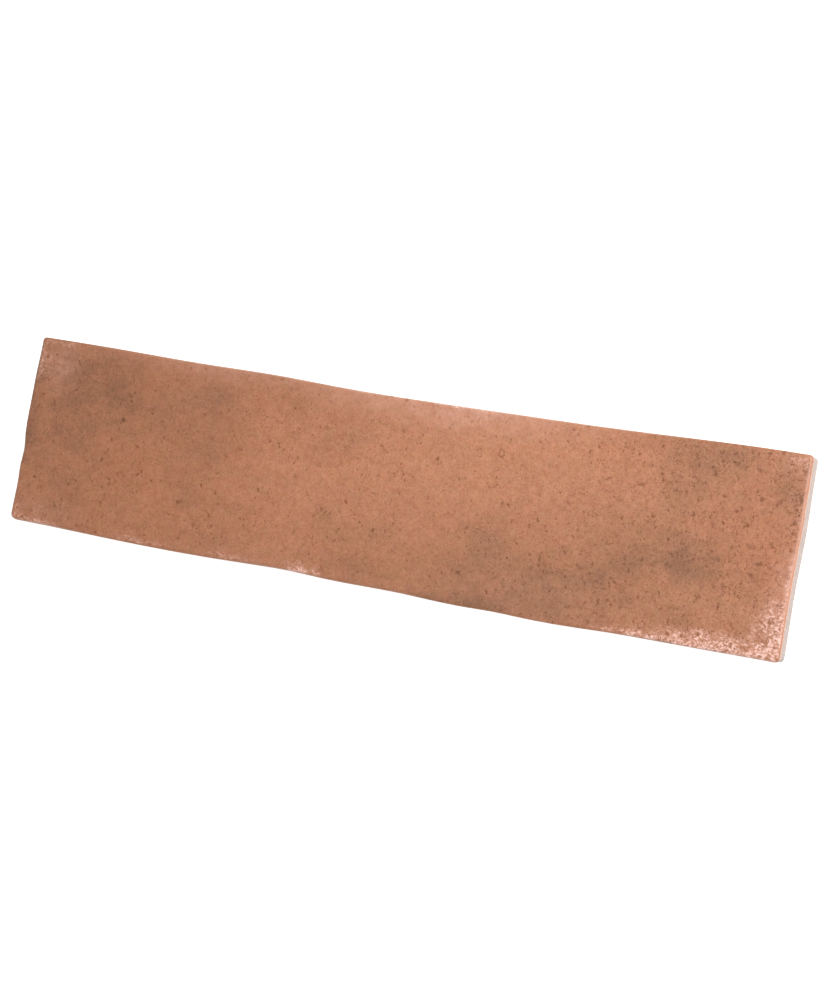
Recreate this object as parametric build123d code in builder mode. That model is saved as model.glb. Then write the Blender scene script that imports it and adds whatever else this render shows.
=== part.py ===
from build123d import *
from dataclasses import dataclass
import os

# A long, narrow wall tile with a glazed face, lying on its back.
# It was pressed and fired as one piece, so the pale body and the glaze on its face are one solid.
# +X runs along its length, +Y across its width and +Z out of the glazed face.
# The origin is the middle of the flat back. All sizes are in millimetres.

length = 250.0  # nominal, from end to end
width = 60.0  # nominal, from long edge to long edge
thickness = 10.0  # from the flat back to the face
face_arris = 1.0  # radius of the soft arris where the glaze rolls over the edge of the face
back_arris = 0.5  # radius of the small arris that the press leaves round the back

# Corner radii, seen from above.
near_right_corner = 1.5
far_right_corner = 1.4
far_left_corner = 1.2
near_left_corner = 2.0

# An arris goes round the corners, so its radius is at most this share of the smallest corner radius.
arris_share = 0.9
smallest_corner = min(near_right_corner, far_right_corner, far_left_corner, near_left_corner)
face_radius = min(face_arris, arris_share * smallest_corner)
back_radius = min(back_arris, arris_share * smallest_corner)

# No edge of the tile is straight. Each sway lists stations along one edge, in the order of walking round
# the tile anticlockwise, as seen from above: the share of the edge walked so far, and how far the edge
# stands out from its nominal line there, to a tenth. There is a station only where the edge turns.
near_sway = [
    (0.00, -0.6),
    (0.05, -0.5),
    (0.13, -0.1),
    (0.27, 0.0),
    (0.32, -0.3),
    (0.40, -0.6),
    (0.43, -0.3),
    (0.54, -0.2),
    (0.62, 0.3),
    (0.66, 0.1),
    (0.69, 0.3),
    (0.76, 0.2),
    (0.79, -0.1),
    (0.90, -0.4),
    (1.00, -0.6),
]
right_sway = [
    (0.00, 0.1),
    (0.35, -0.1),
    (0.60, 0.2),
    (1.00, -0.1),
]
far_sway = [
    (0.00, 0.3),
    (0.04, 0.3),
    (0.18, -0.5),
    (0.26, -0.9),
    (0.35, -1.1),
    (0.50, -1.4),
    (0.58, -1.2),
    (0.66, -0.6),
    (0.80, -0.5),
    (0.84, -0.3),
    (1.00, 0.1),
]
left_sway = [
    (0.00, -0.2),
    (0.20, 0.1),
    (0.34, 0.2),
    (0.55, 0.1),
    (0.63, -0.3),
    (0.72, 0.0),
    (0.80, -0.1),
    (1.00, 0.1),
]


@dataclass
class Side:
    """One side of the tile, as it is walked."""

    along: Vector  # the way it is walked
    out: Vector  # the way out of the tile
    reach: float  # from the middle of the tile to its nominal line
    sway: list  # its stations
    corner: float  # radius of the corner that it ends in


along_length = Vector(1, 0)
along_width = Vector(0, 1)
sides = [
    Side(along_length, -along_width, width / 2, near_sway, near_right_corner),
    Side(along_width, along_length, length / 2, right_sway, far_right_corner),
    Side(-along_length, along_width, width / 2, far_sway, far_left_corner),
    Side(-along_width, -along_length, length / 2, left_sway, near_left_corner),
]
sides_before = sides[-1:] + sides[:-1]
sides_after = sides[1:] + sides[:1]

with BuildPart() as tile:
    with BuildSketch():
        with BuildLine():
            for before, side, after in zip(sides_before, sides, sides_after):
                start = before.corner - before.reach - before.sway[-1][1]
                end = after.reach + after.sway[0][1] - side.corner
                points = [
                    side.along * (start + share * (end - start)) + side.out * (side.reach + stand)
                    for share, stand in side.sway
                ]
                wavy_edge = Spline(points, tangents=[side.along, side.along])
                JernArc(start=wavy_edge @ 1, tangent=side.along, radius=side.corner, arc_size=90)
        make_face()
    extrude(amount=thickness)
    fillet(tile.faces().sort_by(Axis.Z)[-1].edges(), face_radius)
    fillet(tile.faces().sort_by(Axis.Z)[0].edges(), back_radius)

tile.part.label = "tile"

os.makedirs("parts", exist_ok=True)
export_step(tile.part, "parts/tile.step")
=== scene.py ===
import math

import bpy
from bpy.props import FloatProperty, FloatVectorProperty, IntProperty, PointerProperty
from mathutils import Matrix, Vector
from mathutils.kdtree import KDTree


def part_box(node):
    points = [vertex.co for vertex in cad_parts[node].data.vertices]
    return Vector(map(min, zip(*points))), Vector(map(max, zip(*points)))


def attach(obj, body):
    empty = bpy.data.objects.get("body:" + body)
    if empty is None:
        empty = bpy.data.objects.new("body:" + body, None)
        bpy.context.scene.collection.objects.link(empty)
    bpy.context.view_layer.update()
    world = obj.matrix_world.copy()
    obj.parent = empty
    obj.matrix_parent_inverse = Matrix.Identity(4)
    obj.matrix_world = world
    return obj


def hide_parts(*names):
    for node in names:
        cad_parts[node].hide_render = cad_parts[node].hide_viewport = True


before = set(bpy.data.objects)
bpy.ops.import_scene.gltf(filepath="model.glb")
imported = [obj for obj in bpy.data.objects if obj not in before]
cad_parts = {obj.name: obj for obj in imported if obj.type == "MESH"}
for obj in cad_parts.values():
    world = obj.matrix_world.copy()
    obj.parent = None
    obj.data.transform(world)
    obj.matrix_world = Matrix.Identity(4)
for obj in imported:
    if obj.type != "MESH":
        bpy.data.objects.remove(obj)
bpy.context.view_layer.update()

# A glazed terracotta-coloured wall tile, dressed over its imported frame.
# Shapes are in metres. Patterns are written in millimetres of the tile's own place.

bl_info = {
    "name": "Glazed terracotta wall tile",
    "version": (1, 0, 0),
    "blender": (4, 5, 0),
    "location": "3D View > Sidebar > Tile",
    "description": "Models a fired wall tile with wavy edges, a worn satin glaze and a pale bare body",
    "category": "Object",
}

MM = 0.001
CAD_NODE = "tile"
LOW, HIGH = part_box(CAD_NODE)
SIZE = HIGH - LOW
MIDDLE = (LOW + HIGH) / 2
GUIDE_NAME = "guide"
RIM_NAME = "rim"
SEED_STEPS = (17.3, 9.1, 5.7)  # how far one seed's noise lies from the next one's, in grains
NOISE_MIDDLE = (0.5, 0.5, 0.5)


class TileShape(bpy.types.PropertyGroup):
    """Sizes of the modelled tile."""

    cell: FloatProperty(
        name="Cell", description="Side of one cell of the face's mesh", default=0.5 * MM, unit="LENGTH"
    )
    lip_rows: IntProperty(
        name="Lip rows", description="Rows of cells in the top of the wall, where the glaze ends", default=9
    )
    lip_row: FloatProperty(
        name="Lip row", description="Height of one of those rows", default=0.3 * MM, unit="LENGTH"
    )
    wall_rows: IntProperty(name="Wall rows", description="Rows of cells in the rest of the wall", default=9)
    back_rims: IntProperty(name="Back rims", description="Rings of cells round the back", default=3)
    back_rim: FloatProperty(
        name="Back rim", description="Width of each of those rings", default=0.5 * MM, unit="LENGTH"
    )
    undulation: FloatProperty(
        name="Undulation",
        description="Depth of the slow waves of the face",
        default=0.22 * MM,
        unit="LENGTH",
    )
    pressing: FloatProperty(
        name="Pressing marks",
        description="Depth of the unevenness of the bare walls",
        default=0.14 * MM,
        unit="LENGTH",
    )
    glaze_coat: FloatProperty(
        name="Glaze coat",
        description="How far the glaze stands proud of the body",
        default=0.1 * MM,
        unit="LENGTH",
    )
    crust: FloatProperty(
        name="Crust",
        description="Height of the crust where the glaze has frosted",
        default=0.09 * MM,
        unit="LENGTH",
    )


class TileFinish(bpy.types.PropertyGroup):
    """Colours of the glaze and of the body under it; the frost, haze and thin glaze are partly painted
    glints, sheen and highlight.
    """

    # The left glaze is darker than the right partly as painted shade, the lamp being at the right.
    left_glaze: FloatVectorProperty(
        name="Left glaze",
        description="Glaze at the left end",
        default=(0.390, 0.1625, 0.088),
        subtype="COLOR",
    )
    right_glaze: FloatVectorProperty(
        name="Right glaze",
        description="Glaze at the right end",
        default=(0.413, 0.179, 0.100),
        subtype="COLOR",
    )
    body: FloatVectorProperty(
        name="Body", description="Bare fired body", default=(0.465, 0.375, 0.338), subtype="COLOR"
    )
    # Frost: pale crust on the glaze, partly a painted glint where light catches the crust.
    frost: FloatVectorProperty(
        name="Frost", description="Pale crust on the glaze", default=(0.82, 0.51, 0.44), subtype="COLOR"
    )
    # Haze: milky glaze, partly a painted sheen along the edges and round the crust.
    haze: FloatVectorProperty(
        name="Haze",
        description="Milky glaze, also round the crust",
        default=(0.55, 0.275, 0.195),
        subtype="COLOR",
    )
    # Thin glaze: glaze run thin over the arris, also a painted highlight on the arrises facing the lamp.
    thin: FloatVectorProperty(
        name="Thin glaze",
        description="Glaze that has run thin over the arris",
        default=(0.44, 0.18, 0.098),
        subtype="COLOR",
    )
    lip: FloatVectorProperty(
        name="Glaze end",
        description="Cream line where the glaze ends",
        default=(0.62, 0.42, 0.32),
        subtype="COLOR",
    )
    speck: FloatVectorProperty(
        name="Specks",
        description="What a full speck lets through of the glaze's colour",
        default=(0.55, 0.41, 0.19),
        subtype="COLOR",
    )


class TileStage(bpy.types.PropertyGroup):
    """Floor and light."""

    floor: FloatVectorProperty(
        name="Floor", description="Colour of the floor", default=(0.86, 0.86, 0.86), subtype="COLOR"
    )
    glow: FloatProperty(
        name="Floor glow", description="Light that the floor gives off, as on a light table", default=0.7
    )
    sky: FloatProperty(name="Sky", description="Strength of the light from all round", default=0.55)
    key: FloatProperty(name="Key", description="Power of the large soft lamp", default=14.5, unit="POWER")


class Wire:
    """An output of a node. Arithmetic on wires adds Math nodes, and add() makes any other node."""

    def __init__(self, tree, socket=None):
        self.tree = tree
        self.socket = socket

    def add(self, kind, settings, values, output=0):
        """Makes a node, sets its settings, fills its sockets with values or links, and gives one output."""
        node = self.tree.nodes.new(kind)
        for name, setting in settings.items():
            setattr(node, name, setting)
        for name, value in values.items():
            if isinstance(value, Wire):
                self.tree.links.new(value.socket, node.inputs[name])
            else:
                node.inputs[name].default_value = value
        return Wire(self.tree, node.outputs[output] if node.outputs else None)

    def maths(self, operation, first, second=0.0):
        return self.add("ShaderNodeMath", {"operation": operation}, {0: first, 1: second})

    def __add__(self, other):
        return self.maths("ADD", self, other)

    def __radd__(self, other):
        return self.maths("ADD", other, self)

    def __sub__(self, other):
        return self.maths("SUBTRACT", self, other)

    def __rsub__(self, other):
        return self.maths("SUBTRACT", other, self)

    def __mul__(self, other):
        return self.maths("MULTIPLY", self, other)

    def __rmul__(self, other):
        return self.maths("MULTIPLY", other, self)


def vector(operation, first, *others, output=0):
    """A Vector Math node on vectors."""
    values = dict(enumerate((first, *others)))
    return first.add("ShaderNodeVectorMath", {"operation": operation}, values, output)


def stretched(place, amount):
    """A vector times a number."""
    return place.add("ShaderNodeVectorMath", {"operation": "SCALE"}, {0: place, "Scale": amount})


def larger(first, second):
    return first.maths("MAXIMUM", first, second)


def smaller(first, second):
    return first.maths("MINIMUM", first, second)


def unsigned(value):
    return value.maths("ABSOLUTE", value)


def ramp(value, low, high, start=0.0, end=1.0):
    """Goes softly from start to end as the value goes from low to high."""
    return value.add(
        "ShaderNodeMapRange",
        {"interpolation_type": "SMOOTHSTEP"},
        {0: value, 1: low, 2: high, 3: start, 4: end},
    )


def parts(place):
    """The x, y and z of a vector."""
    split = place.add("ShaderNodeSeparateXYZ", {}, {0: place})
    return [Wire(place.tree, socket) for socket in split.socket.node.outputs]


def in_grains(place, grain, seed):
    """The place counted in grains instead of millimetres, and moved on by the seed."""
    grains = grain if isinstance(grain, tuple) else (grain,) * 3
    scale = tuple(1 / size for size in grains)
    return vector("MULTIPLY_ADD", place, scale, tuple(seed * step for step in SEED_STEPS))


def noise(place, grain, seed, detail=2.0, rough=0.5, output=0):
    """Soft noise, 0 to 1, whose lumps are about one grain across. Output 1 is three of them."""
    return place.add(
        "ShaderNodeTexNoise",
        {"noise_dimensions": "3D"},
        {"Vector": in_grains(place, grain, seed), "Scale": 1.0, "Detail": detail, "Roughness": rough},
        output,
    )


def stirred(place, grain, reach, seed):
    """The place pushed about sideways by noise, by up to about half the reach."""
    push = vector("SUBTRACT", noise(place, grain, seed, output=1), NOISE_MIDDLE)
    return vector("MULTIPLY_ADD", push, (reach, reach, 0.0), place)


def away(place, centre, half, turn=0.0):
    """How far a place is from the middle of an upright oval, 1 on its rim."""
    if turn:
        place = place.add(
            "ShaderNodeVectorRotate",
            {"rotation_type": "Z_AXIS"},
            {"Vector": place, "Center": (*centre, 0.0), "Angle": -math.radians(turn)},
        )
    across, along = half
    scale = (1 / across, 1 / along, 0.0)
    scaled = vector("MULTIPLY_ADD", place, scale, (-centre[0] / across, -centre[1] / along, 0.0))
    return vector("LENGTH", scaled, output=1)


# Patches of the glaze: middle and half sizes in millimetres, turn in degrees, and strength.
# A tint's strength is over 0 where it is warm and under 0 where it is cool.
# Part of the dark clouds is painted shade: the dark over the left end and the dark bands along the left and
# near edges.
DARK_CLOUDS_AND_SHADE = [
    ((-116, 10), (46, 54), 0, 0.45),
    ((-98, 17), (26, 18), 0, 0.42),
    ((-88, 13), (13, 6), -20, 0.15),
    ((-115, 10), (9, 9), 0, 0.14),
    ((-124, 1), (6, 18), 0, 0.5),
    ((-125, 20), (5, 14), 0, 0.5),
    ((-112, -3), (13, 13), 30, 0.1),
    ((-106, -17), (8, 8), 0, 0.12),
    ((-68, 12), (32, 24), 0, 0.26),
    ((-61, 18), (13, 8), 20, 0.22),
    ((-68, 4), (20, 8), 0, 0.1),
    ((-57, 5), (9, 11), 0, 0.24),
    ((-67, -15), (4, 3), 0, 0.2),
    ((-52, -25), (14, 7), 0, 0.15),
    ((-110, -26), (15, 8), 0, 0.2),
    ((-72, -16), (46, 24), 0, 0.2),
    ((-17, 11), (16, 8), 20, 0.36),
    ((-34, 20), (8, 5), 0, 0.15),
    ((-20, -10), (8, 6), 0, 0.25),
    ((-6, -16), (24, 8), 0, 0.2),
    ((-6, -25), (28, 7), 0, 0.35),
    ((4, -12), (14, 6), 0, 0.12),
    ((33, -9), (12, 10), 0, 0.33),
    ((25, -21), (20, 9), 0, 0.22),
    ((27, -30), (24, 5), 0, 0.85),
    ((50, -22), (50, 17), 0, 0.45),
    ((56, -13), (22, 8), 0, 0.15),
    ((74, -11), (18, 7), 35, 0.35),
    ((92, -6), (18, 9), 10, 0.45),
    ((84, -7), (40, 20), 0, 0.3),
    ((94, -23), (11, 7), 0, 0.25),
    ((90, 18), (12, 16), 0, 0.36),
    ((102, 15), (16, 13), 0, 0.16),
    ((96, 26), (20, 8), 0, 0.28),
    ((78, 4), (26, 10), 0, 0.05),
    ((106, 26), (8, 5), 0, 0.2),
    ((119, 19), (8, 9), 0, 0.38),
    ((113, -6), (6, 6), 0, 0.2),
    ((114, 0), (28, 44), 0, 0.24),
]
# Part of the light clouds is painted sheen: the light bands along the far edge.
LIGHT_CLOUDS_AND_SHEEN = [
    ((30, 16), (80, 24), 0, 0.65),
    ((-24, -1), (54, 29), 0, 0.5),
    ((40, 22), (44, 10), 0, 0.2),
    ((15, 29), (66, 8), 0, 0.5),
    ((-35, 29), (100, 7), 0, 0.4),
    ((20, 2), (30, 12), 0, 0.15),
    ((108, 10), (14, 16), 0, 0.2),
    ((110, -15), (17, 13), 0, 0.42),
    ((-95, -11), (9, 8), 0, 0.2),
    ((-76, -16), (13, 10), -30, 0.35),
    ((-120, 25), (14, 12), 0, 0.1),
]
# Some tints are hues of painted light: the cool bands along the left, far and near edges.
TINT_CLOUDS_AND_SHADE = [
    ((122, -4), (10, 16), 0, 0.5),
    ((112, 6), (20, 30), 0, 0.45),
    ((72, 20), (24, 12), 0, 0.2),
    ((-76, -14), (10, 7), -30, 0.25),
    ((-88, -7), (16, 10), 0, 0.25),
    ((48, -24), (45, 14), 0, -0.4),
    ((34, -10), (11, 9), 0, -0.3),
    ((-62, 20), (20, 12), 0, -0.3),
    ((-35, 29), (110, 7), 0, -0.5),
    ((-118, 24), (12, 12), 0, -0.3),
    ((-125, 0), (5, 38), 0, -0.4),
    ((-20, -30), (90, 5), 0, -0.3),
]
# Haze zones lie along the edges and at the corners, where the milky haze is partly painted sheen.
HAZE_AND_SHEEN_ZONES = [
    ((15, 28), (66, 10), 0, 0.42),
    ((-60, 30), (44, 7), 0, 0.2),
    ((-105, 29), (24, 5), 0, 0.06),
    ((-116, 21), (11, 11), 0, 0.16),
    ((-112, -25), (20, 9), 0, 0.08),
    ((-45, -27), (32, 7), 0, 0.05),
    ((125, -6), (9, 14), 0, 0.35),
]
# Frost zones also place painted glints: the pale crumbs stand in for light catching the crust.
FROST_AND_GLINT_ZONES = [
    ((-118, 24), (16, 14), 0, 0.48),
    ((-123, 14), (6, 13), 0, 0.2),
    ((-116, -27), (17, 9), 0, 0.5),
    ((-79, -29), (20, 6), 0, 0.42),
    ((-48, -28), (20, 7), 0, 0.32),
    ((-23, -28), (12, 5), 0, 0.7),
    ((78, -30), (15, 6), 0, 0.5),
    ((104, -29), (30, 8), 0, 1.4),
    ((121, -22), (10, 17), 0, 0.95),
    ((124, -7), (8, 12), 0, 0.5),
    ((123, 11), (5, 18), 0, 0.32),
    ((-12, 28), (13, 4), 0, 0.3),
    ((22, 27), (22, 7), 0, 0.6),
    ((48, 27), (8, 5), 0, 0.35),
    ((121, 27), (8, 6), 0, 0.5),
]
# Thin glaze zones lie mostly on the right end and the far edge, facing the lamp: thin glaze and painted
# highlight.
THIN_AND_HIGHLIT_ZONES = [
    ((128, 0), (14, 60), 0, 1.3),
    ((40, 33), (95, 8), 0, 0.35),
    ((70, -32), (70, 6), 0, 0.2),
]

# Specks that stand out: middle and half sizes in millimetres, turn in degrees, and strength.
# A strength under 0 stands for a ring.
SPECKS = [
    ((33.8, 16.6), (0.9, 1.2), 0, -0.7),
    ((14.4, 11.9), (0.7, 0.7), 0, 1.0),
    ((33.6, 9.4), (0.35, 0.45), 0, 0.8),
    ((33.6, 6.6), (0.8, 0.8), 0, 0.3),
    ((-12.2, -5.5), (0.45, 0.9), 35, 1.0),
    ((-89.4, 14.1), (0.5, 0.8), 40, 1.0),
    ((-91.1, 7.9), (0.6, 0.8), 20, 1.0),
    ((-88.8, 16.7), (0.8, 0.35), 30, 0.6),
    ((-94.1, 1.1), (0.5, 0.8), 0, 0.7),
    ((-115.9, 7.5), (0.5, 0.5), 0, 0.6),
    ((-67.4, -14.6), (0.9, 0.7), 0, 0.9),
    ((-84.7, -8.8), (0.4, 0.6), 0, 0.6),
    ((-85.2, -5.3), (0.4, 0.5), 0, 0.6),
    ((-81.4, -8.6), (0.4, 0.4), 0, 0.6),
    ((-82.2, -13.9), (0.4, 0.6), 0, 0.6),
    ((-104.3, -25.8), (0.5, 0.5), 0, 0.8),
    ((-93.9, -28.6), (0.7, 0.5), 0, 0.9),
    ((-33.9, 20), (0.5, 0.5), 0, 0.8),
    ((-41.4, -6.5), (0.5, 0.7), 0, 0.8),
    ((-22.7, 3.9), (1.1, 1.0), 0, 0.3),
    ((-22.3, 15.6), (1.0, 0.8), 0, 0.3),
    ((-8.6, -1.1), (0.4, 0.6), 0, 0.6),
    ((-19.6, -9.1), (0.5, 0.7), 0, 0.7),
    ((-21.6, -11.5), (0.5, 0.6), 0, 0.6),
    ((-6.7, -10.8), (0.5, 0.5), 0, 0.8),
    ((-2, -12.6), (0.5, 0.5), 0, 0.9),
    ((-56.2, -17.2), (0.4, 0.7), 0, 0.8),
    ((-53.3, -23.8), (0.4, 0.5), 0, 0.8),
    ((-57.5, -26.2), (0.4, 0.6), 0, 0.7),
    ((1.5, 27.9), (0.6, 0.6), 0, 0.9),
    ((4.1, 26.2), (0.6, 0.5), 0, 0.9),
    ((5.2, 3.8), (0.4, 0.5), 0, 0.7),
    ((23, 24.6), (0.5, 0.6), 0, 0.7),
    ((31.2, 21.3), (0.4, 0.6), 0, 0.7),
    ((45, 21.8), (0.5, 0.5), 0, 0.7),
    ((62.8, 23.1), (0.5, 0.6), 0, 0.8),
    ((27, -7), (1.1, 0.6), 40, 0.7),
    ((40.6, -2.7), (0.5, 0.7), 0, 0.7),
    ((47.7, -11.5), (0.5, 0.7), 0, 0.8),
    ((51, -14.1), (0.6, 0.5), 0, 0.8),
    ((59.5, -16.1), (0.5, 0.6), 0, 0.8),
    ((58.2, -9.1), (0.5, 0.6), 0, 0.7),
    ((10.7, -17.6), (1.2, 0.8), 0, 0.4),
    ((67, 14.3), (1.0, 0.4), 50, 0.8),
    ((75.1, 22.7), (0.5, 0.6), 0, 0.8),
    ((82.7, 18.2), (0.6, 0.5), 0, 0.9),
    ((83.3, 16.4), (0.5, 0.6), 0, 0.8),
    ((92.9, 22.4), (0.5, 0.6), 0, 0.8),
    ((96.9, 22.4), (0.6, 0.5), 0, 0.8),
    ((99.5, 24.6), (0.6, 0.6), 0, 0.8),
    ((94.4, 12.3), (0.5, 0.7), 0, 0.8),
    ((102.6, 7), (0.6, 0.6), 0, 0.9),
    ((105.8, 11), (0.7, 0.5), 0, 0.8),
    ((109.6, 7.5), (0.6, 0.6), 0, 0.9),
    ((110.5, 23.5), (0.5, 0.7), 0, 0.9),
    ((112.2, 15.4), (0.7, 0.9), 0, 0.9),
    ((110.7, 17.6), (0.5, 0.6), 0, 0.8),
    ((112.4, 28.8), (0.8, 0.5), 0, 0.9),
    ((115.1, -2.7), (0.6, 0.7), 0, 0.8),
    ((103.1, -3.5), (0.5, 0.7), 0, 0.7),
    ((106.2, -3.3), (0.5, 0.6), 0, 0.7),
    ((97.5, -2), (0.5, 0.6), 0, 0.7),
    ((113, -6.2), (0.7, 0.6), 0, 0.9),
    ((105.2, -16.8), (0.5, 1.3), 0, 1.0),
    ((99.9, -6), (0.5, 0.6), 0, 0.7),
    ((81.9, -18.1), (0.5, 0.7), 0, 0.7),
    ((73.2, 3.7), (0.5, 0.6), 0, 0.8),
    ((82.3, 5.7), (0.5, 0.6), 0, 0.8),
    ((123.6, 16.8), (0.7, 1.0), 0, 0.9),
    ((122.8, 10.1), (0.9, 0.6), 0, 0.8),
    ((122.9, 7.4), (1.1, 0.6), 0, 0.7),
    ((122.9, 2.5), (0.6, 0.7), 0, 0.8),
    ((125, 2.8), (0.4, 0.6), 0, 0.7),
    ((117.8, 15.7), (0.9, 0.7), 20, 0.7),
    ((116.9, 14.4), (0.5, 0.7), 0, 0.7),
    ((120.6, 20.3), (0.9, 0.5), 0, 0.6),
    ((122.4, -4.8), (0.9, 0.7), 0, 0.7),
    ((110.6, -9), (0.5, 0.8), 0, 0.7),
    ((111.4, 1.7), (0.5, 0.9), 0, 0.6),
    ((117.3, 3.4), (0.6, 0.8), 0, 0.7),
    ((117.8, -3.4), (0.8, 0.6), 0, 0.6),
    ((105.3, -10.4), (0.5, 0.8), 0, 0.6),
]


def gathered(place, zones):
    """The patches added up, each full in its middle and fading out to its rim."""
    total = 0.0
    for centre, half, turn, strength in zones:
        total = ramp(away(place, centre, half, turn), low=1.0, high=0.1, end=strength) + total
    return total


def frosted_and_glinting(place, zone, rim):
    """Pale crust with painted glints, 0 to 1: soft crumbs, thicker where the zone is, most of all just inside
    the rim.
    """
    crumbs = stirred(place, grain=1.3, reach=1.1, seed=22)
    crumbs = noise(crumbs, grain=(1.1, 0.85, 1.0), seed=23, detail=2.5, rough=0.7)
    patches = ramp(noise(place, grain=4.0, seed=24, detail=3.0), low=0.32, high=0.62, start=0.3)
    ridge = ramp(rim, low=3.2, high=1.6) * ramp(rim, low=0.0, high=1.2)
    ridge_share = 0.7
    full = zone * (patches + ridge_share * ridge)
    return ramp(crumbs, low=0.36, high=0.7, start=0.12) * ramp(full, low=0.0, high=1.3)


def glaze_end(place):
    """How far below the face the glaze ends, in millimetres."""
    least = 0.55
    reach = 1.1
    return least + reach * noise(place, grain=(9.0, 9.0, 40.0), seed=31, detail=3.0)


def note(points, name, value):
    """Keeps a number at every point, for the glaze to read."""
    return points.add(
        "GeometryNodeStoreNamedAttribute",
        {"data_type": "FLOAT", "domain": "POINT"},
        {"Geometry": points, "Name": name, "Value": value},
    )


def draw_out(start):
    """Draws the straight grid out to the CAD's wavy walls, and notes how far each point is from the rim."""
    x, y, z = parts(start.add("GeometryNodeInputPosition", {}, {}))
    walls = start.add("GeometryNodeObjectInfo", {}, {"Object": bpy.data.objects[GUIDE_NAME]}, "Geometry")
    corner = 3.0 * MM
    ray_length = 1.0
    drawn = []
    gaps = []
    for axis, own, reach, other, other_reach in (
        ("X", x, SIZE.x / 2, y, SIZE.y / 2),
        ("Y", y, SIZE.y / 2, x, SIZE.x / 2),
    ):
        other_axis = "Y" if axis == "X" else "X"
        held = smaller(larger(other, corner - other_reach), other_reach - corner)
        side = own.maths("SIGN", own)
        found = start.add(
            "GeometryNodeRaycast",
            {},
            {
                "Target Geometry": walls,
                "Source Position": start.add("ShaderNodeCombineXYZ", {}, {other_axis: held, "Z": MIDDLE.z}),
                "Ray Direction": start.add("ShaderNodeCombineXYZ", {}, {axis: side}),
                "Ray Length": ray_length,
            },
            "Hit Distance",
        )
        share = unsigned(own) * (1 / reach)
        drawn.append(side * share * found)
        gaps.append(found * (1.0 - share))
    rim = smaller(*gaps) + (z - HIGH.z)
    place = start.add("ShaderNodeCombineXYZ", {}, {"X": drawn[0], "Y": drawn[1], "Z": z})
    moved = start.add("GeometryNodeSetPosition", {}, {"Geometry": start, "Position": place})
    return note(moved, RIM_NAME, rim * (1 / MM))


def sink(start):
    """Sinks every point, never outwards, by the unevenness of the fired piece, and keeps the patches."""
    shape = bpy.context.scene.tile_shape
    place = stretched(start.add("GeometryNodeInputPosition", {}, {}), 1 / MM)
    rim = start.add("GeometryNodeInputNamedAttribute", {"data_type": "FLOAT"}, {"Name": RIM_NAME})
    height = parts(place)[2]
    drifted = stirred(place, grain=4.0, reach=3.0, seed=42)
    zone = gathered(drifted, FROST_AND_GLINT_ZONES)

    lump_depth = 0.07
    grain_depth = 0.05
    on_face = ramp(rim, low=-0.6, high=0.6)
    bare = ramp(rim + glaze_end(place), low=0.25, high=-0.25)
    waves = noise(place, grain=(34.0, 24.0, 34.0), seed=1) * (shape.undulation / MM)
    lumps = noise(place, grain=6.0, seed=2) * lump_depth
    pressed = noise(place, grain=(4.0, 4.0, 2.0), seed=3, detail=3.0) * (shape.pressing / MM)
    grain = noise(place, grain=0.9, seed=4) * grain_depth
    crust = (1.0 - frosted_and_glinting(place, zone, rim)) * ramp(zone, low=0.0, high=0.4) * (shape.crust / MM)
    sunk = on_face * (waves + lumps + crust) + bare * (pressed + grain + shape.glaze_coat / MM)
    depth = sunk * ramp(height, low=0.4, high=1.6) * -MM
    offset = stretched(start.add("GeometryNodeInputNormal", {}, {}), depth)

    # Kept patches: clouds with painted shade and sheen, haze with painted sheen, frost with painted glints,
    # thin glaze with a painted arris highlight.
    kept = note(start, "dark", gathered(drifted, DARK_CLOUDS_AND_SHADE))
    kept = note(kept, "light", gathered(drifted, LIGHT_CLOUDS_AND_SHEEN))
    kept = note(kept, "tint", gathered(drifted, TINT_CLOUDS_AND_SHADE))
    kept = note(kept, "haze", gathered(drifted, HAZE_AND_SHEEN_ZONES))
    kept = note(kept, "frost", zone)
    kept = note(kept, "thin", gathered(drifted, THIN_AND_HIGHLIT_ZONES))
    return start.add("GeometryNodeSetPosition", {}, {"Geometry": kept, "Offset": offset})


def through_nodes(piece, name, build):
    """Sends the piece's mesh through the geometry nodes that the function builds."""
    tree = bpy.data.node_groups.new(name, "GeometryNodeTree")
    for way in ("INPUT", "OUTPUT"):
        tree.interface.new_socket("Geometry", in_out=way, socket_type="NodeSocketGeometry")
    end = build(Wire(tree).add("NodeGroupInput", {}, {}))
    end.add("NodeGroupOutput", {}, {"Geometry": end})
    modifier = piece.modifiers.new(name, "NODES")
    modifier.node_group = tree
    bpy.ops.object.modifier_apply(modifier=modifier.name)
    bpy.data.node_groups.remove(tree)


def only(piece):
    """Selects the piece alone and makes it the active one."""
    bpy.ops.object.select_all(action="DESELECT")
    piece.select_set(True)
    bpy.context.view_layer.objects.active = piece


def guide_shape():
    """A merged copy of the CAD solid, to fit the modelled tile to."""
    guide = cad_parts[CAD_NODE].copy()
    guide.data = guide.data.copy()
    guide.name = GUIDE_NAME
    guide.parent = None
    bpy.context.scene.collection.objects.link(guide)
    only(guide)
    bpy.ops.object.mode_set(mode="EDIT")
    bpy.ops.mesh.select_all(action="SELECT")
    touching = 0.001 * MM
    bpy.ops.mesh.remove_doubles(threshold=touching)
    bpy.ops.object.mode_set(mode="OBJECT")
    return guide


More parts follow.
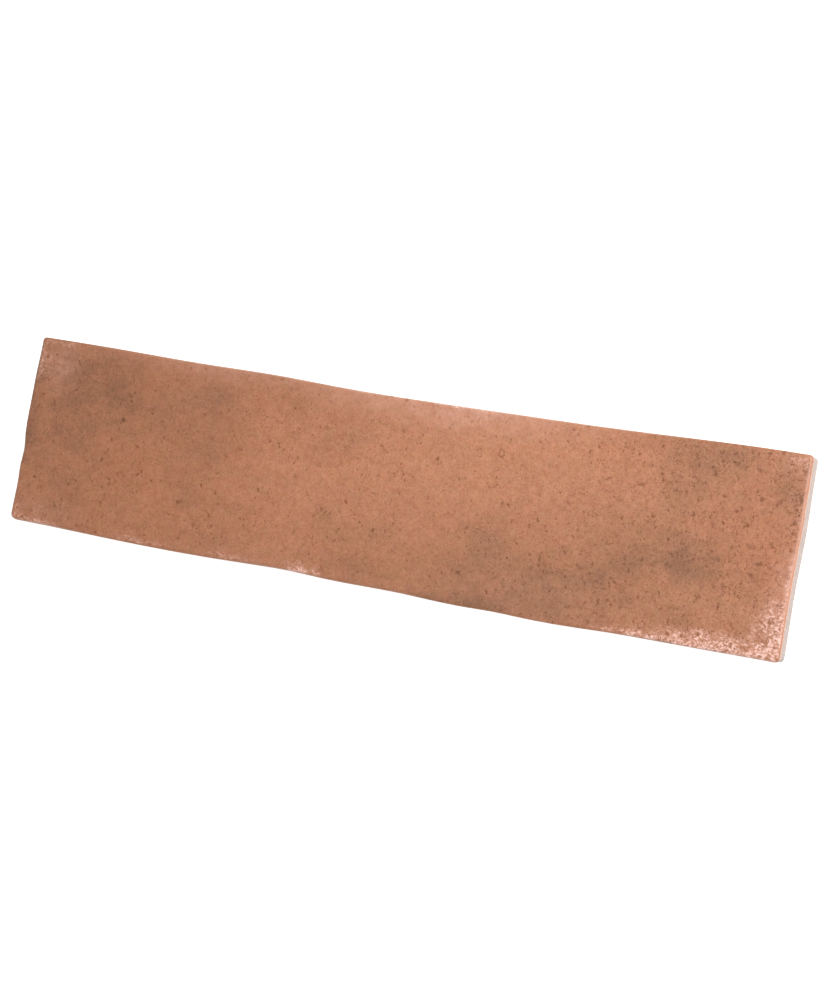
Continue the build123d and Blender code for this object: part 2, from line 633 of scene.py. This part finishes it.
def rough_tile(shape):
    """A straight-sided tile: a fine grid for the face, rows of walls going down from it, and a flat back."""
    bpy.ops.object.select_all(action="DESELECT")
    bpy.ops.mesh.primitive_grid_add(
        x_subdivisions=round(SIZE.x / shape.cell),
        y_subdivisions=round(SIZE.y / shape.cell),
        size=1.0,
        location=(0.0, 0.0, HIGH.z),
    )
    tile = bpy.context.object
    tile.name = tile.data.name = "glazed_tile"
    tile.scale = (SIZE.x, SIZE.y, 1.0)
    bpy.ops.object.transform_apply(location=True, rotation=True, scale=True)
    bpy.ops.object.mode_set(mode="EDIT")
    bpy.ops.mesh.select_all(action="SELECT")
    bpy.ops.mesh.region_to_loop()
    wall_row = (SIZE.z - shape.lip_rows * shape.lip_row) / shape.wall_rows
    for drop in [shape.lip_row] * shape.lip_rows + [wall_row] * shape.wall_rows:
        bpy.ops.mesh.extrude_edges_move(TRANSFORM_OT_translate={"value": (0.0, 0.0, -drop)})
    inwards = (1.0 - 2.0 * shape.back_rim / SIZE.x, 1.0 - 2.0 * shape.back_rim / SIZE.y, 1.0)
    for _ in range(shape.back_rims):
        bpy.ops.mesh.extrude_edges_move()
        bpy.ops.transform.resize(value=inwards)
    bpy.ops.mesh.edge_face_add()
    bpy.ops.mesh.select_all(action="SELECT")
    bpy.ops.mesh.normals_make_consistent(inside=False)
    bpy.ops.object.mode_set(mode="OBJECT")
    return tile


def model_tile(shape):
    """The tile's mesh, fitted to the CAD solid and then given its unevenness."""
    guide = guide_shape()
    tile = rough_tile(shape)
    only(tile)
    through_nodes(tile, "draw out", draw_out)
    hug = tile.modifiers.new("hug", "SHRINKWRAP")
    hug.target = guide
    hug.wrap_method = "NEAREST_SURFACEPOINT"
    bpy.ops.object.modifier_apply(modifier=hug.name)
    through_nodes(tile, "sink", sink)
    bpy.ops.object.shade_smooth()
    mark_specks(tile)
    bpy.data.objects.remove(guide)
    return tile


def mixed(share, first, second, way="MIX"):
    """Blends two colours."""
    return share.add(
        "ShaderNodeMix", {"data_type": "RGBA", "blend_type": way}, {0: share, 6: first, 7: second}, 2
    )


def colour(values):
    return (*values, 1.0)


def mark_specks(tile):
    """Keeps at every point where it lies in the frame of the nearest listed speck, and how strong that is."""
    finder = KDTree(len(SPECKS))
    for number, (centre, *_) in enumerate(SPECKS):
        finder.insert((*centre, 0.0), number)
    finder.balance()
    marks = tile.data.attributes.new("speck", "FLOAT_VECTOR", "POINT")
    for vertex, mark in zip(tile.data.vertices, marks.data):
        x, y, _ = vertex.co / MM
        centre, half, turn, strength = SPECKS[finder.find((x, y, 0.0))[1]]
        across, along = x - centre[0], y - centre[1]
        cos, sin = math.cos(math.radians(turn)), math.sin(math.radians(turn))
        own_across = (across * cos + along * sin) / half[0]
        own_along = (along * cos - across * sin) / half[1]
        mark.vector = (own_across, own_along, strength)


def noted(start, name, output="Fac"):
    """Reads what the mesh keeps under this name."""
    return start.add("ShaderNodeAttribute", {"attribute_name": name}, {}, output)


# Dyes of the patterns: where a pattern is full, the colour under it is multiplied by its dye.
# The dark and light cloud dyes also paint shade and sheen.
DARK_CLOUD_AND_SHADE_DYE = (0.64, 0.65, 0.59)
LIGHT_CLOUD_AND_SHEEN_DYE = (1.165, 1.20, 1.22)
WARM_DYE = (1.12, 0.98, 0.88)
COOL_DYE = (0.90, 0.975, 1.13)
BLOTCH_DYE = (1.05, 1.05, 1.05)
LUMP_DYE = (0.92, 0.915, 0.90)
MOTTLE_DYE = (0.91, 0.88, 0.83)
GRAIN_DYE = (0.86, 0.75, 0.61)
RED_DYE = (1.03, 0.97, 0.98)
OLIVE_DYE = (0.98, 1.02, 0.92)
TRACK_DYE = (0.66, 0.52, 0.32)
DARK_CRUMBLE_DYE = (0.69, 0.55, 0.36)
LIGHT_CRUMBLE_DYE = (1.13, 1.16, 1.20)
BODY_GRAIN_DYE = (0.84, 0.83, 0.82)
BODY_STREAK_DYE = (0.9, 0.9, 0.91)
BODY_PORE_DYE = (0.74, 0.71, 0.68)
UPPER_WALL_DYE = (0.94, 0.93, 0.90)

# Heights of the finest relief, in millimetres.
GRAIN_RELIEF = 0.02
FROST_RELIEF = 0.08
PIT_RELIEF = -0.05
BODY_RELIEF = 0.06
PORE_RELIEF = -0.08

# Roughness of the satin glaze, what frost, mottle and the bare body add to it, and the glaze's clear coat.
SATIN = 0.42
FROST_ROUGH = 0.18
MOTTLE_ROUGH = 0.12
BODY_ROUGH = 0.38
COAT_WEIGHT = 0.35


def dyed(share, under, dye):
    """Multiplies a colour by a dye, as far as the share says."""
    return mixed(share, under, colour(dye), "MULTIPLY")


def rising(value, least, gain):
    """A straight rise from the least."""
    return least + gain * value


def clouded_and_shaded(start, place, finish):
    """The glaze's ground, browner at the left end, with its clouds and tints; the dark at the left end and
    along the left and near edges is partly painted shade, and the light along the far edge is painted sheen.
    """
    wisps = stirred(place, grain=8.0, reach=6.0, seed=54)
    wisps = noise(wisps, grain=(9.0, 7.0, 9.0), seed=55, detail=4.0, rough=0.6)
    torn = ramp(wisps, low=0.3, high=0.7, start=0.5, end=1.45)
    tint = noted(start, "tint")
    # Darker at the left end partly as painted shade, for the light that falls from the right.
    rightward = ramp(parts(place)[0], low=-80.0, high=40.0)
    glaze = mixed(rightward, colour(finish.left_glaze), colour(finish.right_glaze))
    glaze = dyed(noted(start, "dark") * torn, glaze, DARK_CLOUD_AND_SHADE_DYE)
    glaze = dyed(noted(start, "light"), glaze, LIGHT_CLOUD_AND_SHEEN_DYE)
    glaze = dyed(larger(tint, 0.0), glaze, WARM_DYE)
    return dyed(larger(0.0 - tint, 0.0), glaze, COOL_DYE)


def grained(place, glaze, mottle, grain):
    """The glaze's unevenness of colour, from blotches down to grains."""
    blotch = noise(place, grain=12.0, seed=40, detail=3.0, rough=0.55)
    lumps = noise(place, grain=3.6, seed=42, detail=2.0, rough=0.55)
    drift = parts(noise(place, grain=2.6, seed=44, output=1))
    glaze = dyed(ramp(blotch, low=0.3, high=0.7), glaze, BLOTCH_DYE)
    glaze = dyed(ramp(lumps, low=0.65, high=0.3), glaze, LUMP_DYE)
    glaze = dyed(ramp(mottle, low=0.65, high=0.3), glaze, MOTTLE_DYE)
    glaze = dyed(ramp(grain, low=0.70, high=0.25), glaze, GRAIN_DYE)
    glaze = dyed(ramp(drift[0], low=0.3, high=0.7), glaze, RED_DYE)
    return dyed(ramp(drift[1], low=0.3, high=0.7), glaze, OLIVE_DYE)


def crowding(start, place, rim):
    """How crowded the marks are: more at the right and along its rim, in patches, dark clouds and frost."""
    x = parts(place)[0]
    rightward = ramp(x, low=5.0, high=110.0)
    patchy = ramp(noise(place, grain=6.0, seed=46), low=0.35, high=0.7)
    edge = ramp(x, low=60.0, high=115.0) * ramp(rim, low=8.0, high=2.0)
    dark = noted(start, "dark")
    zone = noted(start, "frost")
    weighed = ((0.8, rightward), (0.4, patchy), (0.7, dark), (0.9, zone), (0.7, edge))
    return sum(weight * crowd for weight, crowd in weighed)


def crumbled(place, glaze, dense):
    """Short worm tracks, and dark and light crumbling, stronger where the marks are crowded."""
    bends = noise(stirred(place, grain=1.2, reach=0.8, seed=52), grain=1.7, seed=53, detail=1.5)
    halfway = 0.5
    tracks = ramp(unsigned(bends - halfway), low=0.035, high=0.0)
    tracks = tracks * ramp(noise(place, grain=1.3, seed=56), low=0.48, high=0.62)
    crumble = stirred(place, grain=1.0, reach=0.7, seed=57)
    crumble = noise(crumble, grain=(1.0, 1.2, 1.0), seed=58, detail=2.0, rough=0.6)
    dark = ramp(crumble, low=0.52, high=0.72)
    light = ramp(crumble, low=0.44, high=0.26)
    glaze = dyed(tracks * rising(dense, least=0.08, gain=0.7), glaze, TRACK_DYE)
    glaze = dyed(dark * rising(dense, least=0.04, gain=0.3), glaze, DARK_CRUMBLE_DYE)
    return dyed(light * rising(dense, least=0.08, gain=0.4), glaze, LIGHT_CRUMBLE_DYE)


def speckled(start, place):
    """The listed specks, 0 to 1: filled ovals, and rings where the strength is under 0."""
    mark = noted(start, "speck", "Vector")
    strength = parts(mark)[2]
    wobble = vector("SUBTRACT", noise(place, grain=0.6, seed=51, output=1), NOISE_MIDDLE)
    wobble_reach = (1.6, 1.6, 0.0)
    oval = vector("MULTIPLY_ADD", wobble, wobble_reach, vector("MULTIPLY", mark, (1.0, 1.0, 0.0)))
    reach = vector("LENGTH", oval, output=1)
    ring_radius = 0.9
    ring = ramp(unsigned(reach - ring_radius), low=0.5, high=0.0)
    filled = ramp(reach, low=1.25, high=0.45)
    return filled * larger(strength, 0.0) + ring * larger(0.0 - strength, 0.0)


def pitted(start, place, dense):
    """Dark pits, 0 to 1: large and small random ones, more where they are crowded, and the listed specks."""
    large = stirred(place, grain=0.8, reach=0.6, seed=47)
    large = noise(large, grain=(1.1, 1.35, 1.1), seed=48, detail=1.5, rough=0.6)
    small = noise(stirred(place, grain=0.5, reach=0.4, seed=49), grain=(0.5, 0.6, 0.5), seed=50, detail=1.0)
    depth = ramp(noise(place, grain=2.2, seed=59), low=0.3, high=0.72, start=0.3)
    more_large = 0.035
    more_small = 0.04
    large = ramp(large + more_large * dense, low=0.62, high=0.74)
    small = ramp(small + more_small * dense, low=0.67, high=0.8)
    return larger(speckled(start, place), larger(large, small) * depth)


def weathered_and_highlit(start, place, rim, frost, glaze, finish):
    """Glaze thinned along the arris with a painted highlight, milky haze in broken patches with painted
    sheen, and frost crumbs, partly painted glints, with haze round them.
    """
    thin_and_highlit_arris = noted(start, "thin") * ramp(rim, low=1.9, high=-0.1)
    breaks = stirred(place, grain=2.0, reach=1.5, seed=60)
    breaks = noise(breaks, grain=3.0, seed=61, detail=4.0, rough=0.65)
    breaks = ramp(breaks, low=0.3, high=0.7, start=0.3, end=1.6)
    halo_share = 0.7
    crumb_share = 0.95
    glaze = mixed(thin_and_highlit_arris, glaze, colour(finish.thin))
    glaze = mixed(noted(start, "haze") * breaks, glaze, colour(finish.haze))
    # A painted sheen round the crust, then its pale crumbs, partly painted glints.
    glaze = mixed(ramp(frost, low=0.0, high=0.35) * halo_share, glaze, colour(finish.haze))
    return mixed(ramp(frost, low=0.25, high=0.85) * crumb_share, glaze, colour(finish.frost))


def bare_body(place, grain, pores, finish):
    """The pale fired body: grainy, faintly streaked, porous, and a shade darker near the glaze."""
    streak = noise(place, grain=(3.0, 3.0, 14.0), seed=52, detail=3.0)
    height = parts(place)[2]
    body = dyed(ramp(grain, low=0.25, high=0.8), colour(finish.body), BODY_GRAIN_DYE)
    body = dyed(ramp(streak, low=0.3, high=0.8), body, BODY_STREAK_DYE)
    body = dyed(pores, body, BODY_PORE_DYE)
    return dyed(ramp(height, low=3.0, high=8.5), body, UPPER_WALL_DYE)


def glaze_material(finish):
    """Satin glaze, clouded, specked and frosted, with painted shade, sheen, glints and highlight, that gives
    way to the pale body down the walls.
    """
    material = bpy.data.materials.new("glazed_terracotta")
    material.use_nodes = True
    tree = material.node_tree
    tree.nodes.clear()
    start = Wire(tree)
    place = stretched(start.add("ShaderNodeTexCoord", {}, {}, "Object"), 1 / MM)
    rim = noted(start, RIM_NAME)
    mottle = noise(place, grain=1.5, seed=43, detail=2.0, rough=0.55)
    grain = noise(place, grain=0.55, seed=45, detail=1.0, rough=0.6)
    body_grain = noise(place, grain=0.6, seed=51, detail=4.0, rough=0.65)
    pores = noise(stirred(place, grain=0.8, reach=0.5, seed=62), grain=(0.8, 0.8, 0.7), seed=63, detail=2.0)
    pores = ramp(pores, low=0.66, high=0.76)
    dense = crowding(start, place, rim)
    dots = pitted(start, place, dense)
    on_top = ramp(rim, low=-0.1, high=0.5)
    cleared = 0.8
    # The frost's pale crumbs are partly painted glints.
    frost = frosted_and_glinting(place, noted(start, "frost"), rim) * on_top * (1.0 - cleared * dots)

    glaze = clouded_and_shaded(start, place, finish)
    glaze = grained(place, glaze, mottle, grain)
    glaze = crumbled(place, glaze, dense)
    glaze = dyed(dots, glaze, finish.speck)
    glaze = weathered_and_highlit(start, place, rim, frost, glaze, finish)
    below = rim + glaze_end(place)
    lip_share = 0.7
    glaze = mixed(ramp(below, low=0.85, high=0.3) * lip_share, glaze, colour(finish.lip))
    bare = ramp(below, low=0.3, high=-0.15)
    base = mixed(bare, glaze, bare_body(place, body_grain, pores, finish))

    glaze_bumps = grain * GRAIN_RELIEF + frost * FROST_RELIEF + dots * PIT_RELIEF
    body_bumps = body_grain * BODY_RELIEF + pores * PORE_RELIEF
    bumps = glaze_bumps * (1.0 - bare) + body_bumps * bare
    bump = start.add("ShaderNodeBump", {}, {"Strength": 1.0, "Distance": MM, "Height": bumps})
    shader = start.add(
        "ShaderNodeBsdfPrincipled",
        {},
        {
            "Base Color": base,
            "Roughness": SATIN + FROST_ROUGH * frost + MOTTLE_ROUGH * mottle + BODY_ROUGH * bare,
            "Coat Weight": (1.0 - bare) * COAT_WEIGHT,
            "Coat Roughness": 0.3,
            "Normal": bump,
        },
    )
    start.add("ShaderNodeOutputMaterial", {}, {"Surface": shader})
    return material


class TILE_OT_glazed_tile(bpy.types.Operator):
    """Model the tile over its CAD solid and glaze it"""

    bl_idname = "tile.glazed_tile"
    bl_label = "Glazed tile"

    def execute(self, context):
        tile = model_tile(context.scene.tile_shape)
        tile.data.materials.clear()
        tile.data.materials.append(glaze_material(context.scene.tile_finish))
        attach(tile, "root")
        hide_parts(CAD_NODE)
        return {"FINISHED"}


# The camera looks down on the tile from beyond its right end, as the photograph does.
CAMERA_PLACE = Vector((0.2174, -0.0099, 0.6052))
CAMERA_AIM = Vector((0.0097, -0.0014, 0.0100))
CAMERA_UP = Vector((-0.1607, 0.9845, 0.0701))
CAMERA_LENS = 75.65

FLOOR_SIZE = 6.0
LAMP_PLACE = Vector((0.6, 0.35, 0.95))
LAMP_SIZE = 0.9
WHITE = (1.0, 1.0, 1.0)


def floor_material(stage):
    material = bpy.data.materials.new("floor")
    material.use_nodes = True
    shader = material.node_tree.nodes["Principled BSDF"]
    shader.inputs["Base Color"].default_value = colour(stage.floor)
    shader.inputs["Roughness"].default_value = 0.9
    shader.inputs["Emission Color"].default_value = colour(stage.floor)
    shader.inputs["Emission Strength"].default_value = stage.glow
    return material


class TILE_OT_stage(bpy.types.Operator):
    """Lay the pale floor, light it softly and place the camera"""

    bl_idname = "tile.stage"
    bl_label = "Stage"

    def execute(self, context):
        stage = context.scene.tile_stage
        bpy.ops.object.select_all(action="DESELECT")
        bpy.ops.mesh.primitive_plane_add(size=FLOOR_SIZE, location=(0.0, 0.0, LOW.z))
        floor = context.object
        floor.name = "floor"
        bpy.ops.object.transform_apply(location=True, rotation=True, scale=True)
        floor.data.materials.append(floor_material(stage))

        world = bpy.data.worlds.new("studio")
        world.use_nodes = True
        world.node_tree.nodes["Background"].inputs["Strength"].default_value = stage.sky
        world.node_tree.nodes["Background"].inputs["Color"].default_value = colour(WHITE)
        context.scene.world = world

        lamp = bpy.data.lights.new("soft lamp", "AREA")
        lamp.shape = "DISK"
        lamp.size = LAMP_SIZE
        lamp.energy = stage.key
        key = bpy.data.objects.new("soft lamp", lamp)
        key.location = LAMP_PLACE
        key.rotation_euler = (-LAMP_PLACE).to_track_quat("-Z", "Y").to_euler()
        context.scene.collection.objects.link(key)

        camera = bpy.data.objects.new("camera", bpy.data.cameras.new("camera"))
        camera.data.lens = CAMERA_LENS
        camera.location = CAMERA_PLACE
        back = (CAMERA_PLACE - CAMERA_AIM).normalized()
        right = CAMERA_UP.cross(back).normalized()
        camera.rotation_euler = turned_to(right, back.cross(right), back)
        context.scene.collection.objects.link(camera)
        context.scene.camera = camera
        context.scene.view_settings.view_transform = "Standard"
        return {"FINISHED"}


def turned_to(right, up, back):
    """The turn of an object whose own axes point these ways."""
    return Matrix((right, up, back)).transposed().to_euler()


class TILE_PT_panel(bpy.types.Panel):
    """Settings of the tile and its stage, and the buttons that make them"""

    bl_idname = "TILE_PT_panel"
    bl_label = "Glazed tile"
    bl_space_type = "VIEW_3D"
    bl_region_type = "UI"
    bl_category = "Tile"

    def draw(self, context):
        for settings in (context.scene.tile_shape, context.scene.tile_finish, context.scene.tile_stage):
            for name in settings.__annotations__:
                self.layout.prop(settings, name)
        self.layout.operator(TILE_OT_glazed_tile.bl_idname)
        self.layout.operator(TILE_OT_stage.bl_idname)


CLASSES = (TileShape, TileFinish, TileStage, TILE_OT_glazed_tile, TILE_OT_stage, TILE_PT_panel)


def register():
    for each in CLASSES:
        bpy.utils.register_class(each)
    bpy.types.Scene.tile_shape = PointerProperty(type=TileShape)
    bpy.types.Scene.tile_finish = PointerProperty(type=TileFinish)
    bpy.types.Scene.tile_stage = PointerProperty(type=TileStage)


def unregister():
    del bpy.types.Scene.tile_stage
    del bpy.types.Scene.tile_finish
    del bpy.types.Scene.tile_shape
    for each in reversed(CLASSES):
        bpy.utils.unregister_class(each)


def main():
    register()
    bpy.ops.tile.glazed_tile()
    bpy.ops.tile.stage()


if __name__ == "__main__":
    main()
